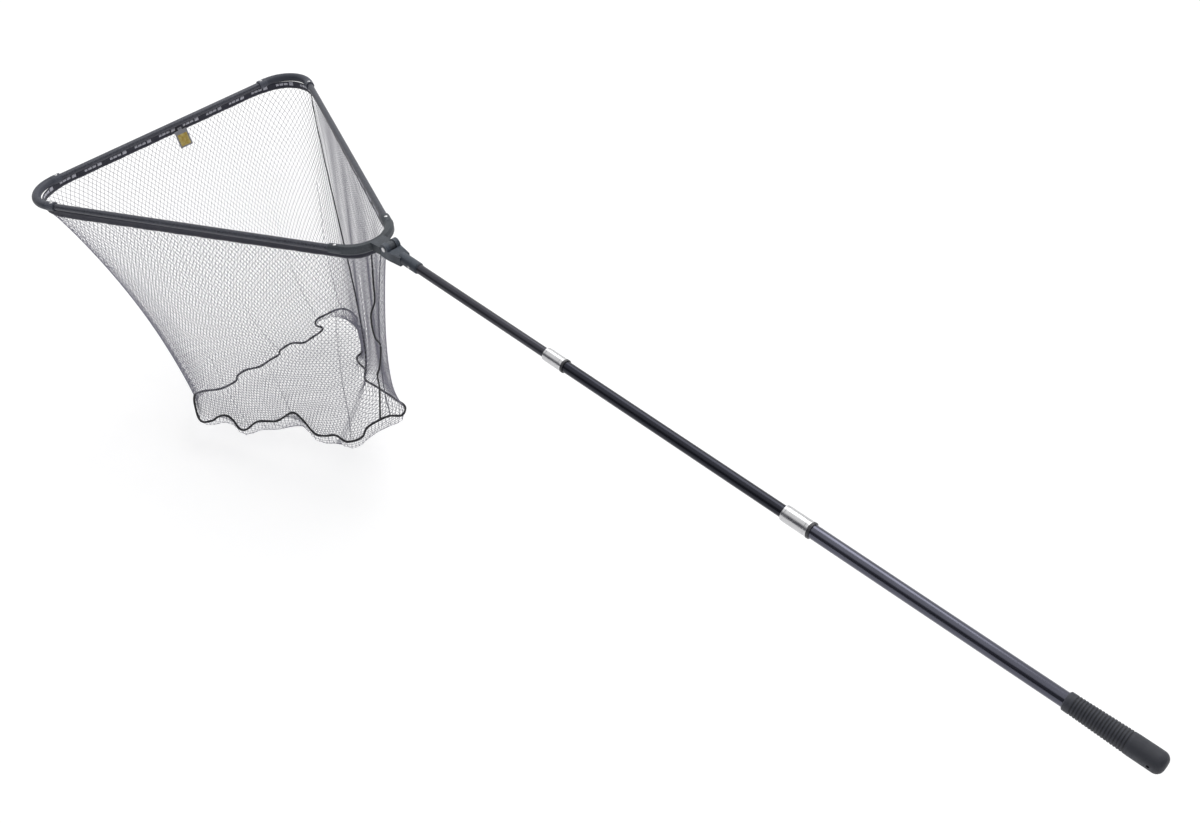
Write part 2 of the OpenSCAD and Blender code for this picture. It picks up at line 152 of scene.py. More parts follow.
def paint_edge_highlight(nt, base, edge_highlight_color, low=0.52, high=0.6, amount=0.6):
    """Painted highlight: lighter colour along convex edges, broken up by noise."""
    g = node(nt, "ShaderNodeNewGeometry")
    edge = remap(nt, g.outputs["Pointiness"], low, high, 0.0, amount, True)
    highlight_breakup = noise(nt, coords(nt), 420, 3)
    return mix(nt, math_node(nt, "MULTIPLY", edge, remap(nt, highlight_breakup, 0.35, 0.65, 0.2, 1.0)), base, (*edge_highlight_color, 1))


def moulded(name, color, rough=0.5, grain=900, depth=0.00012, var=0.12, edge_highlight_color=None, spec=0.5):
    """Moulded plastic: fine spark-eroded grain, slow tone drift, and an optional painted highlight along the edges."""
    m, nt, b = tree(name)
    v = coords(nt)
    drift = remap(nt, noise(nt, v, 26, 3), 0.3, 0.7, 0, 1)
    col = mix(nt, drift, scaled(color, 1 - var), scaled(color, 1 + var))
    # painted highlight: a lighter colour along the convex edges
    if edge_highlight_color:
        col = paint_edge_highlight(nt, col, edge_highlight_color)
    nt.links.new(col, b.inputs["Base Color"])
    nt.links.new(remap(nt, noise(nt, v, 60, 5), 0.3, 0.7, rough - 0.07, rough + 0.09), b.inputs["Roughness"])
    b.inputs["Specular IOR Level"].default_value = spec
    n1 = bump(nt, noise(nt, v, grain, 2, 0.6), 0.5, depth)
    nt.links.new(n1, b.inputs["Normal"])
    return m


def anodised(name, color, rough=0.28, metal=1.0, rings=None, brush=(6, 900), spots=0.0, edge_highlight_color=None, coat=0.0, var=0.1):
    """Drawn aluminium tube, anodised or painted: die lines along X, optional fine rings round it."""
    m, nt, b = tree(name)
    v = coords(nt)
    lines = noise(nt, coords(nt, (brush[0], brush[1], brush[1])), 1.0, 3, 0.5)
    drift = remap(nt, noise(nt, v, 9, 3), 0.3, 0.7, 0, 1)
    col = mix(nt, drift, scaled(color, 1 - var), scaled(color, 1 + var))
    # painted highlight: a lighter colour along the convex edges
    if edge_highlight_color:
        col = paint_edge_highlight(nt, col, edge_highlight_color, 0.53, 0.62, 0.8)
    nt.links.new(col, b.inputs["Base Color"])
    b.inputs["Metallic"].default_value = metal
    nt.links.new(remap(nt, lines, 0.25, 0.75, rough - 0.06, rough + 0.08), b.inputs["Roughness"])
    if coat:
        b.inputs["Coat Weight"].default_value = coat
        b.inputs["Coat Roughness"].default_value = 0.12
    nm = bump(nt, lines, 0.25, 0.00006)
    if rings:
        w = node(nt, "ShaderNodeTexWave", wave_type="BANDS", bands_direction="X", wave_profile="SIN")
        w.inputs["Scale"].default_value = 0.314 / rings[0]
        w.inputs["Distortion"].default_value = 0.0
        nt.links.new(v, w.inputs["Vector"])
        nm = bump(nt, w.outputs["Fac"], rings[1], rings[2], nm)
    nt.links.new(nm, b.inputs["Normal"])
    return m


def woven(name, color, rib=0.0016, rough=0.85, depth=0.0003, sheen=0.3, var=0.18):
    """Narrow woven or braided textile: ribs both ways with fibre noise."""
    m, nt, b = tree(name)
    v = coords(nt)
    fac = []
    for d, s in (("DIAGONAL", 1.0), ("Z", 1.35)):
        w = node(nt, "ShaderNodeTexWave", wave_type="BANDS", bands_direction=d, wave_profile="SIN")
        w.inputs["Scale"].default_value = 0.314 / (rib * s)
        w.inputs["Distortion"].default_value = 1.2
        w.inputs["Detail"].default_value = 1.0
        w.inputs["Detail Scale"].default_value = 3.0
        nt.links.new(v, w.inputs["Vector"])
        fac.append(w.outputs["Fac"])
    ribs = math_node(nt, "MULTIPLY", fac[0], fac[1])
    fibre = noise(nt, v, 1800, 2)
    tone = math_node(nt, "ADD", math_node(nt, "MULTIPLY", ribs, 0.7), math_node(nt, "MULTIPLY", fibre, 0.3))
    nt.links.new(mix(nt, tone, scaled(color, 1 - var), scaled(color, 1 + 2 * var)), b.inputs["Base Color"])
    b.inputs["Roughness"].default_value = rough
    b.inputs["Sheen Weight"].default_value = sheen
    b.inputs["Sheen Roughness"].default_value = 0.5
    nm = bump(nt, ribs, 0.8, depth)
    nt.links.new(bump(nt, fibre, 0.4, depth * 0.4, nm), b.inputs["Normal"])
    return m


# ------------------------------------------------------------------ materials
M = {}
# the last colour tuple given to most of these is a painted highlight along the convex edges
M["frame_tube"] = anodised("frame_tube", (0.024, 0.025, 0.034), 0.42, 0.25, edge_highlight_color=(0.10, 0.105, 0.13))
M["corner"] = moulded("corner", (0.052, 0.056, 0.074), 0.50, edge_highlight_color=(0.12, 0.13, 0.16), spec=0.35)
M["yoke"] = moulded("yoke", (0.040, 0.047, 0.055), 0.50, edge_highlight_color=(0.11, 0.12, 0.14), spec=0.35)
M["head_block"] = moulded("head_block", (0.034, 0.042, 0.056), 0.46, edge_highlight_color=(0.11, 0.13, 0.16), spec=0.35)
M["black_plastic"] = moulded("black_plastic", (0.018, 0.018, 0.021), 0.42, edge_highlight_color=(0.08, 0.08, 0.09))
M["pale_plastic"] = moulded("pale_plastic", (0.62, 0.62, 0.58), 0.42)
M["ring"] = moulded("ring", (0.016, 0.016, 0.019), 0.36, edge_highlight_color=(0.09, 0.09, 0.10))
M["upper_tube"] = anodised("upper_tube", (0.050, 0.050, 0.060), 0.30, 0.85, rings=(0.0042, 0.30, 0.00012))
M["middle_tube"] = anodised("middle_tube", (0.026, 0.027, 0.036), 0.24, 0.85)
M["lower_tube"] = anodised("lower_tube", (0.100, 0.102, 0.130), 0.20, 0.95)
M["steel"] = anodised("steel", (0.56, 0.56, 0.57), 0.26, 1.0, brush=(700, 700))


def collar_material():
    """Machined silver aluminium: turning lines round the axis, a painted highlight on the edges, faint handling marks.
    """
    m, nt, b = tree("collar")
    v = coords(nt)
    turn = noise(nt, coords(nt, (2600, 30, 30)), 1.0, 3, 0.6)
    smudge = noise(nt, v, 70, 4)
    col = mix(nt, remap(nt, smudge, 0.35, 0.7, 0, 1), (0.52, 0.52, 0.53), (0.58, 0.58, 0.59))
    # painted highlight: near-white colour along the convex edges
    nt.links.new(paint_edge_highlight(nt, col, (0.95, 0.95, 0.95), 0.53, 0.62, 0.7), b.inputs["Base Color"])
    b.inputs["Metallic"].default_value = 1.0
    nt.links.new(remap(nt, smudge, 0.3, 0.75, 0.20, 0.34), b.inputs["Roughness"])
    nt.links.new(bump(nt, turn, 0.10, 0.00002), b.inputs["Normal"])
    return m


M["collar"] = collar_material()


def grip_material():
    """Moulded rubber: matt, with painted shade in the hollows between the ribs, lighter on the ribs, and a patchy tone.
    """
    m, nt, b = tree("grip")
    v = coords(nt)
    g = node(nt, "ShaderNodeNewGeometry")
    # painted shade: darker colour in the concave hollows, lighter on the convex ribs
    hollow_shade = remap(nt, g.outputs["Pointiness"], 0.44, 0.56, 0.0, 1.0, True)
    dust = remap(nt, noise(nt, v, 45, 4), 0.3, 0.7, 0.75, 1.25)
    base = mix(nt, hollow_shade, (0.008, 0.009, 0.012), (0.036, 0.039, 0.050))
    col = mix(nt, 1.0, base, mix(nt, dust, (0.8, 0.8, 0.8), (1.1, 1.1, 1.12)), "MULTIPLY")
    nt.links.new(col, b.inputs["Base Color"])
    nt.links.new(remap(nt, noise(nt, v, 90, 4), 0.3, 0.7, 0.52, 0.70), b.inputs["Roughness"])
    nm = bump(nt, noise(nt, v, 1300, 2), 0.5, 0.00012)
    nt.links.new(bump(nt, noise(nt, v, 160, 3), 0.25, 0.0003, nm), b.inputs["Normal"])
    return m


M["grip"] = grip_material()
M["tape"] = woven("tape", (0.030, 0.031, 0.048), 0.0018, 0.82, 0.00035)
M["binding"] = woven("binding", (0.010, 0.010, 0.014), 0.0022, 0.72, 0.0004, 0.15)
M["thread"] = woven("thread", (0.10, 0.10, 0.13), 0.0010, 0.7, 0.0001, 0.1)
M["print"] = woven("tape_print", (0.52, 0.52, 0.58), 0.0018, 0.8, 0.0002, 0.1, 0.08)


def net_material():
    """Fine twine: matt dark grey with a slight lavender cast."""
    m, nt, b = tree("net")
    b.inputs["Base Color"].default_value = (0.185, 0.180, 0.235, 1)
    b.inputs["Roughness"].default_value = 0.62
    b.inputs["Sheen Weight"].default_value = 0.25
    return m


M["net"] = net_material()


def tag_material():
    """Blank gold foil label with a grey rim, on thin plastic."""
    lo_t, hi_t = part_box("tag")
    m, nt, b = tree("tag")
    tc = node(nt, "ShaderNodeTexCoord")
    sep = node(nt, "ShaderNodeSeparateXYZ")
    nt.links.new(tc.outputs["Object"], sep.inputs["Vector"])
    cy, hy = (lo_t[1] + hi_t[1]) / 2, (hi_t[1] - lo_t[1]) / 2
    z1 = hi_t[2] - 0.0105
    cz, hz = (lo_t[2] + z1) / 2, (z1 - lo_t[2]) / 2
    dy = math_node(nt, "DIVIDE", math_node(nt, "ABSOLUTE", math_node(nt, "SUBTRACT", sep.outputs["Y"], cy)), hy)
    dz = math_node(nt, "DIVIDE", math_node(nt, "ABSOLUTE", math_node(nt, "SUBTRACT", sep.outputs["Z"], cz)), hz)
    edge = math_node(nt, "MAXIMUM", dy, dz)
    rim = remap(nt, edge, 0.76, 0.80, 0, 1, True)
    v = coords(nt)
    foil = mix(nt, remap(nt, noise(nt, v, 120, 3), 0.35, 0.65, 0, 1), (0.62, 0.43, 0.09), (0.86, 0.70, 0.26))
    nt.links.new(mix(nt, rim, foil, (0.22, 0.22, 0.24)), b.inputs["Base Color"])
    nt.links.new(remap(nt, rim, 0, 1, 0.75, 0.0), b.inputs["Metallic"])
    nt.links.new(remap(nt, rim, 0, 1, 0.33, 0.5), b.inputs["Roughness"])
    nt.links.new(bump(nt, noise(nt, v, 240, 3), 0.3, 0.0003), b.inputs["Normal"])
    return m


M["tag"] = tag_material()

for name, o in NODES.items():
    for s in o.material_slots:
        if s.material and s.material.name.split(".")[0] in M:
            s.material = M[s.material.name.split(".")[0]]

BEVEL = {
    "corner_left": 0.0007, "corner_right": 0.0007, "yoke": 0.0009, "head_block": 0.0009, "collar_upper": 0.0005, "collar_lower": 0.0005,
    "collar_upper_seat": 0.0004, "collar_lower_seat": 0.0004, "lock_bolt": 0.0004, "tag": 0.0003, "upper_tube": 0.0002, "middle_tube": 0.0002,
    "lower_tube": 0.0002, "frame_arm_left": 0.0002, "frame_arm_right": 0.0002, "front_bar": 0.0002}
for name, w in BEVEL.items():
    o = NODES[name]
    md = o.modifiers.new("edge", "BEVEL")
    md.width, md.segments, md.limit_method, md.angle_limit = w, 2, "ANGLE", math.radians(32)
    md.use_clamp_overlap = True
    md.harden_normals = False


# ------------------------------------------------------------------ mesh helpers
def mesh_piece(name, verts, quads, material, tris=None, smooth=True):
    verts = np.asarray(verts, float).reshape(-1, 3)
    quads = np.asarray(quads, np.int64).reshape(-1, 4)
    tris = np.asarray(tris if tris is not None else [], np.int64).reshape(-1, 3)
    me = bpy.data.meshes.new(name)
    me.vertices.add(len(verts))
    me.vertices.foreach_set("co", verts.ravel())
    n_loops = quads.size + tris.size
    me.loops.add(n_loops)
    me.loops.foreach_set("vertex_index", np.concatenate([quads.ravel(), tris.ravel()]))
    me.polygons.add(len(quads) + len(tris))
    starts = np.concatenate([np.arange(len(quads)) * 4, quads.size + np.arange(len(tris)) * 3])
    me.polygons.foreach_set("loop_start", starts.astype(np.int32))
    if smooth:
        me.polygons.foreach_set("use_smooth", np.ones(len(quads) + len(tris), bool))
    me.update(calc_edges=True)
    me.validate()
    me.materials.append(material)
    o = bpy.data.objects.new(name, me)
    bpy.context.scene.collection.objects.link(o)
    return o


def unit(v):
    return v / np.maximum(np.linalg.norm(v, axis=-1, keepdims=True), 1e-12)


def curve_points(points, closed, step):
    """Catmull-Rom through the points, resampled evenly."""
    p = np.asarray(points, float)
    n = len(p)
    idx = np.arange(n if closed else n - 1)
    get = (lambda k: p[k % n]) if closed else (lambda k: p[np.clip(k, 0, n - 1)])
    p0, p1, p2, p3 = get(idx - 1), get(idx), get(idx + 1), get(idx + 2)
    t = np.linspace(0, 1, 12, endpoint=False)[:, None, None]
    q = 0.5 * ((2 * p1) + (p2 - p0) * t + (2 * p0 - 5 * p1 + 4 * p2 - p3) * t**2 + (3 * p1 - p0 - 3 * p2 + p3) * t**3)
    q = q.transpose(1, 0, 2).reshape(-1, p.shape[1])
    q = np.vstack([q, q[:1] if closed else p[-1:]])
    s = np.concatenate([[0], np.cumsum(np.linalg.norm(np.diff(q, axis=0), axis=1))])
    m = max(8, int(round(s[-1] / step)))
    at = np.linspace(0, s[-1], m, endpoint=False) if closed else np.linspace(0, s[-1], m + 1)
    return np.column_stack([np.interp(at, s, q[:, k]) for k in range(q.shape[1])]), s[-1]


def tube(name, line, radius, material, closed=False, sides=8, flat=1.0, up=(0, 0, 1)):
    """Sweeps a round or flattened section along a line. radius may vary along it."""
    p = np.asarray(line, float)
    n = len(p)
    r = np.broadcast_to(np.asarray(radius, float), (n,))
    t = unit(np.roll(p, -1, 0) - np.roll(p, 1, 0)) if closed else unit(np.gradient(p, axis=0))
    u = np.asarray(up, float)
    b = unit(np.cross(t, u) + 1e-9)
    c = np.cross(b, t)
    a = np.arange(sides) * 2 * math.pi / sides
    ring = p[:, None] + r[:, None, None] * (np.cos(a)[None, :, None] * b[:, None] + flat * np.sin(a)[None, :, None] * c[:, None])
    i = np.arange(n if closed else n - 1)
    k = np.arange(sides)
    A = (i[:, None] * sides + k[None]).ravel()
    B = (i[:, None] * sides + (k[None] + 1) % sides).ravel()
    C = (((i[:, None] + 1) % n) * sides + (k[None] + 1) % sides).ravel()
    D = (((i[:, None] + 1) % n) * sides + k[None]).ravel()
    quads = np.column_stack([A, D, C, B])
    tris = []
    if not closed:
        for k in range(1, sides - 1):
            tris += [(0, k, k + 1), ((n - 1) * sides, (n - 1) * sides + k + 1, (n - 1) * sides + k)]
    return mesh_piece(name, ring.reshape(-1, 3), quads, material, tris)


# ------------------------------------------------------------------ head frame and rings
DROOP = math.radians(6.7)
CD, SD = math.cos(DROOP), math.sin(DROOP)


def pt(a, y, d):
    """A point of the frame plane, a in front of the rear meeting point, then straight down by d."""
    a, y, d = np.broadcast_arrays(np.asarray(a, float), np.asarray(y, float), np.asarray(d, float))
    xl, zl = -(a - 0.055), -0.010
    return np.stack([-1.636 + xl * CD - zl * SD, y, 0.010 + xl * SD + zl * CD - d], -1)


# Keys of the hem: (a, y) on the tape's middle, and the index of the binding point below each one
BIND = np.array([
    (-2163, -243, -586), (-2112, -267, -610), (-2086, -250, -606), (-2078, -238, -597), (-2062, -226, -589), (-2043, -220, -594),
    (-2022, -219, -610), (-2004, -211, -606), (-1979, -191, -577), (-1933, -168, -560), (-1900, -143, -528), (-1872, -137, -535),
    (-1836, -134, -556), (-1811, -125, -554), (-1783, -112, -542), (-1753, -104, -547), (-1722, -84, -526), (-1714, -70, -499),
    (-1690, -49, -473), (-1673, -34, -460), (-1664, -8, -470), (-1670, 7, -458), (-1725, 20, -479), (-1817, 39, -516),
    (-1878, 50, -539), (-1916, 79, -552), (-1960, 92, -564), (-1984, 107, -571), (-1996, 135, -572), (-2070, 192, -591),
    (-2105, 198, -597), (-2139, 224, -611), (-2173, 223, -604), (-2194, 209, -605), (-2198, 175, -603), (-2199, 143, -603),
    (-2189, 133, -610), (-2178, 144, -617), (-2173, 134, -621), (-2172, 107, -622), (-2171, 78, -622), (-2183, 50, -614),
    (-2181, 14, -614), (-2176, 7, -619), (-2176, -18, -619), (-2174, -53, -619), (-2183, -87, -614), (-2181, -114, -615),
    (-2174, -124, -620), (-2175, -166, -618), (-2188, -206, -608)], float) / 1000
TOP = [(0.8935, -0.2694, 50), (0.788, -0.334, 1), (0.118, -0.035, 16), (0.111, -0.007, 18), (0.118, 0.035, 20), (0.788, 0.334, 29),
       (0.8935, 0.2694, 34)]

HEM = 0.0235   # depth of the tape's lower edge under the tube axis
M_COLS, N_ROWS = 168, 40


def hem_path(n_per=None):
    """(a, y) round the hem, starting at the front left chamfer and going along the left side to the rear."""
    pts = []
    for i, (a, y, _) in enumerate(TOP):
        a2, y2, _ = TOP[(i + 1) % len(TOP)]
        pts.append((a, y, a2, y2))
    return pts


def fine_binding():
    """The binding's line, and the position along it of each traced point."""
    n = len(BIND)
    fine, marks = [], []
    for i in range(n):
        p0, p1, p2, p3 = BIND[i - 1], BIND[i], BIND[(i + 1) % n], BIND[(i + 2) % n]
        marks.append(len(fine))
        for t in np.linspace(0, 1, 16, endpoint=False):
            fine.append(0.5 * (2 * p1 + (p2 - p0) * t + (2 * p0 - 5 * p1 + 4 * p2 - p3) * t * t + (3 * p1 - p0 - 3 * p2 + p3) * t**3))
    return np.array(fine), marks


FINE, MARKS = fine_binding()


def bound_at(i0, i1, f):
    """Points of the binding between traced points i0 and i1, at the shares f of the way."""
    a, b = MARKS[i0], MARKS[i1]
    if b <= a:
        b += len(FINE)
    seg = FINE[np.arange(a, b + 1) % len(FINE)]
    s = np.concatenate([[0], np.cumsum(np.linalg.norm(np.diff(seg, axis=0), axis=1))])
    return np.column_stack([np.interp(np.asarray(f) * s[-1], s, seg[:, k]) for k in range(3)])


lens = [math.dist((a, y), TOP[(i + 1) % len(TOP)][:2]) for i, (a, y, _) in enumerate(TOP)]
HEM_LEN = sum(lens)
cols = [max(3, int(round(l / HEM_LEN * M_COLS))) for l in lens]
cols[0] += M_COLS - sum(cols)
top_ay, low_pts, U_COL, KEYCOL = [], [], [], []
acc = 0.0
for i, (a, y, k) in enumerate(TOP):
    a2, y2, k2 = TOP[(i + 1) % len(TOP)]
    f = np.arange(cols[i]) / cols[i]
    KEYCOL.append(len(top_ay))
    top_ay += [(a + (a2 - a) * t, y + (y2 - y) * t) for t in f]
    low_pts.append(bound_at(k, k2, f))
    U_COL += list((acc + f * lens[i]) / HEM_LEN)
    acc += lens[i]
top_ay = np.array(top_ay)
LOW = np.vstack(low_pts)
U_COL = np.array(U_COL)
# the hem follows the bent corners of the frame, outside the straight chord
for key in (0, 5):
    i0, i1 = KEYCOL[key], KEYCOL[key + 1]
    chord = np.array(TOP[key + 1][:2]) - np.array(TOP[key][:2])
    out = np.array([-chord[1], chord[0]]) / np.linalg.norm(chord)
    if (out * (top_ay[i0] - np.array([0.6, 0.0]))).sum() < 0:
        out = -out
    f = (np.arange(i1 - i0) / (i1 - i0))[:, None]
    top_ay[i0:i1] += out * 0.034 * np.sin(math.pi * f)
# and hangs from the inner side of the tube, 6.6 mm from its axis
tangent = unit(np.roll(top_ay, -2, 0) - np.roll(top_ay, 2, 0))
outward = np.column_stack([tangent[:, 1], -tangent[:, 0]])
if ((top_ay - np.array([0.6, 0.0])) * outward).sum() < 0:
    outward = -outward
top_ay = top_ay + 0.0095 * outward
# round the hem's corners a little
for _ in range(3):
    top_ay = 0.25 * np.roll(top_ay, 1, 0) + 0.5 * top_ay + 0.25 * np.roll(top_ay, -1, 0)
TOPP = pt(top_ay[:, 0], top_ay[:, 1], HEM)


# ------------------------------------------------------------------ the wall of the bag: pinned cloth solve
def hang_wall():
    """A grid hung from the hem and held by the binding. Threads can go slack but can't stretch, and the hoops are a little short, as
    a diamond mesh narrows when it hangs."""
    v = np.linspace(0, 1, N_ROWS + 1)[:, None, None]
    calm = LOW.copy()
    for _ in range(60):
        calm = 0.25 * np.roll(calm, 1, 0) + 0.5 * calm + 0.25 * np.roll(calm, -1, 0)
    ruled = TOPP[None] * (1 - v) + calm[None] * v
    x = TOPP[None] * (1 - v) + LOW[None] * v
    hoop = np.linalg.norm(np.roll(ruled, -1, 1) - ruled, axis=2)
    vv = np.linspace(0, 1, N_ROWS + 1)[:, None]
    hoop = hoop * (1 - 0.085 * np.sin(math.pi * vv) ** 0.8)
    edge_low = np.linalg.norm(np.roll(LOW, -1, 0) - LOW, axis=1)[None]
    hoop = np.maximum(hoop, edge_low * np.clip((vv - 0.72) / 0.28, 0, 1) ** 1.5)
    drop = np.linalg.norm(LOW - TOPP, axis=1)[None] * 1.018 / N_ROWS
    prev = x.copy()
    m = M_COLS
    ev, od = np.arange(0, m, 2), np.arange(1, m, 2)
    rng = np.random.default_rng(7)
    x[1:-1] += rng.normal(0, 0.0008, x[1:-1].shape)

    def limit(a, b, rest, wa, wb):
        d = b - a
        l = np.linalg.norm(d, axis=-1)
        k = np.where(l > rest, (l - rest) / np.maximum(l, 1e-9), 0) / np.maximum(wa + wb, 1e-9)
        return d * (k * wa)[..., None], -d * (k * wb)[..., None]

    w = np.ones((N_ROWS + 1, m))
    w[0] = w[-1] = 0
    steps = 260
    for step in range(steps):
        vel = (x - prev) * 0.90
        prev = x.copy()
        x[1:-1] += vel[1:-1]
        x[1:-1, :, 2] -= 0.00022
        for _ in range(5):
            for s in (0, 1):
                a, b = x[s:-1:2], x[s + 1::2]
                k = min(len(a), len(b))
                da, db = limit(a[:k], b[:k], drop, w[s:-1:2][:k], w[s + 1::2][:k])
                x[s:-1:2][:k] += da
                x[s + 1::2][:k] += db
            for c in (ev, od):
                c2 = (c + 1) % m
                da, db = limit(x[:, c], x[:, c2], hoop[:, c], w[:, c], w[:, c2])
                x[:, c] += da
                x[:, c2] += db
        sm = 0.25 * (np.roll(x, 1, 1) + np.roll(x, -1, 1)) + 0.25 * (np.roll(x, 1, 0) + np.roll(x, -1, 0))
        x[1:-1] += 0.05 * (sm[1:-1] - x[1:-1])
    return x


WALL = hang_wall()
# the rear seam keeps the end of the wedge nearly straight between hem and binding
near_rear = np.exp(-((U_COL - U_COL[KEYCOL[3]]) / 0.040) ** 2)[None, :, None]
down = np.linspace(0, 1, N_ROWS + 1)[:, None, None]
WALL = WALL * (1 - 0.9 * near_rear) + (TOPP[None] * (1 - down) + LOW[None] * down) * 0.9 * near_rear
for _ in range(14):
    soft_wall = 0.25 * np.roll(WALL, 1, 1) + 0.5 * WALL + 0.25 * np.roll(WALL, -1, 1)
    WALL += (soft_wall - WALL) * np.sin(math.pi * down) ** 0.5


def smooth_noise(seed, nu, nv):
    """Periodic in u: a sum of a few slow waves with fixed phases."""
    rng = np.random.default_rng(seed)
    fu = rng.integers(nu[0], nu[1], 9)
    fv = rng.uniform(nv[0], nv[1], 9)
    ph = rng.uniform(0, 2 * math.pi, 9)
    am = rng.uniform(0.4, 1.0, 9)
    return lambda u, v: sum(a * np.sin(2 * math.pi * (f * u + g * v) + p) for a, f, g, p in zip(am, fu, fv, ph)) / 3.0


FOLDS = smooth_noise(11, (8, 24), (-0.7, 0.7))


def wall_at(u, v):
    """Bicubic point of the wall. u in 0..1 round the hem, v in 0..1 from hem to binding."""
    cf = np.interp(np.mod(u, 1.0), np.append(U_COL, 1.0), np.arange(M_COLS + 1))
    rf = np.clip(v, 0, 1) * N_ROWS
    c0, r0 = np.floor(cf).astype(int), np.clip(np.floor(rf).astype(int), 0, N_ROWS - 1)
    tc, tr = (cf - c0)[..., None], (rf - r0)[..., None]

    def cr(p0, p1, p2, p3, t):
        return 0.5 * (2 * p1 + (p2 - p0) * t + (2 * p0 - 5 * p1 + 4 * p2 - p3) * t * t + (3 * p1 - p0 - 3 * p2 + p3) * t**3)

    rows = []
    for dr in (-1, 0, 1, 2):
        rr = np.clip(r0 + dr, 0, N_ROWS)
        rows.append(cr(*[WALL[rr, (c0 + dc) % M_COLS] for dc in (-1, 0, 1, 2)], tc))
    return cr(*rows, tr)


def wall_normal(u, v, e=0.004):
    du = wall_at(u + e, v) - wall_at(u - e, v)
    v1, v2 = np.clip(v + 0.02, 0, 1), np.clip(v - 0.02, 0, 1)
    dv = wall_at(u, v1) - wall_at(u, v2)
    return unit(np.cross(du, dv))


def u_of_key(k, share=0.0):
    """u of a hem key, plus a share of the way to the next one."""
    u0 = U_COL[KEYCOL[k]]
    u1 = U_COL[KEYCOL[(k + 1) % len(TOP)]] if k + 1 < len(TOP) else 1.0
    return u0 + (u1 - u0) * share


# Pleats: centre u, width in metres along the hem, v where it starts, v where it is full, lean of its line in u
PLEATS = [
    (u_of_key(5) - 0.004, 0.009, 0.25, 0.8, 0.0),          # front right corner
    (u_of_key(6, 0.06), 0.005, 0.42, 0.85, 0.0),            # crease to the kink in the far side
    (u_of_key(6, 0.46), 0.004, 0.66, 0.95, 0.0),
    (u_of_key(0, 0.5), 0.008, 0.05, 0.6, 0.0),              # front left corner
    (u_of_key(1, 0.30), 0.005, 0.55, 0.95, 0.0),            # left side, over the kinks of the binding
    (u_of_key(1, 0.62), 0.005, 0.5, 0.95, 0.0),
    (u_of_key(1, 0.93), 0.008, 0.10, 0.6, 0.0),             # rear end of the left side
    (u_of_key(4, 0.55), 0.006, 0.45, 0.9, 0.0),
]
PLEATS.sort()


def pleated(c, v):
    """From a cloth position c (0..1) to u on the wall and a layer number. Each pleat takes up twice its width more cloth."""
    widths = [w / HEM_LEN * np.clip((v - v0) / (v1 - v0), 0, 1) for _, w, v0, v1, _ in PLEATS]
    total = 1 + sum(2 * w for w in widths)
    t = np.mod(c, 1.0) * total
    u, layer = t.copy(), np.zeros_like(t)
    used = np.zeros_like(t)
    for (uc, *_), w in zip(PLEATS, widths):
        s = t - used                       # surface position if no further pleat
        after = s > uc + 2.5 * w           # past the fold
        inside = (s > uc + 0.5 * w) & ~after & (w > 1e-7)
        x = (s - (uc + 0.5 * w)) / np.maximum(2 * w, 1e-9)      # 0..1 through the two extra layers
        backwards = inside & (x < 0.5)
        forwards = inside & (x >= 0.5)
        u = np.where(backwards, uc + 0.5 * w - (x * 2) * w, u)
        u = np.where(forwards, uc - 0.5 * w + (x * 2 - 1) * w, u)
        layer = np.where(backwards, 1, layer)
        layer = np.where(forwards, 2, layer)
        used = used + np.where(after, 2 * w, 0)
        u = np.where(after, t - used, u)
        layer = np.where(after, 0, layer)
    return u, layer


STRANDS, HALF_ROWS = 204, 76
TWINE = 0.00047


def net_point(c, v):
    u, layer = pleated(c, v)
    p = wall_at(u, v)
    n = wall_normal(u, v)
    fade = np.sin(math.pi * np.clip(v, 0, 1)) ** 0.7
    fold = 0.0022 * FOLDS(u, v) * fade
    return p + n * (fold + 0.0024 * layer)[..., None]


def strand_mesh(paths, normals):
    """Three-sided tubes along many paths of equal length: paths (k, m, 3)."""
    k, m, _ = paths.shape
    t = np.empty_like(paths)
    t[:, 1:-1] = paths[:, 2:] - paths[:, :-2]
    t[:, 0], t[:, -1] = paths[:, 1] - paths[:, 0], paths[:, -1] - paths[:, -2]
    t = unit(t)
    b = unit(np.cross(t, normals))
    n = np.cross(b, t)
    a = np.array([math.pi / 2, math.pi * 7 / 6, math.pi * 11 / 6])
    ring = paths[:, :, None] + TWINE * (np.cos(a)[:, None] * b[:, :, None] + np.sin(a)[:, None] * n[:, :, None])
    base = (np.arange(k)[:, None] * m + np.arange(m - 1)[None]) * 3
    quads = []
    for s in range(3):
        s2 = (s + 1) % 3
        quads.append(np.stack([base + s, base + s2, base + 3 + s2, base + 3 + s], -1).reshape(-1, 4))
    first = np.arange(k) * m * 3
    last = first + (m - 1) * 3
    tris = np.vstack([np.stack([first, first + 2, first + 1], -1), np.stack([last, last + 1, last + 2], -1)])
    return ring.reshape(-1, 3), np.vstack(quads), tris


def join(parts):
    vs, qs, ts, off = [], [], [], 0
    for v, q, t in parts:
        vs.append(v)
        qs.append(np.asarray(q) + off)
        ts.append(np.asarray(t) + off)
        off += len(v)
    return np.vstack(vs), np.vstack(qs), np.vstack(ts)


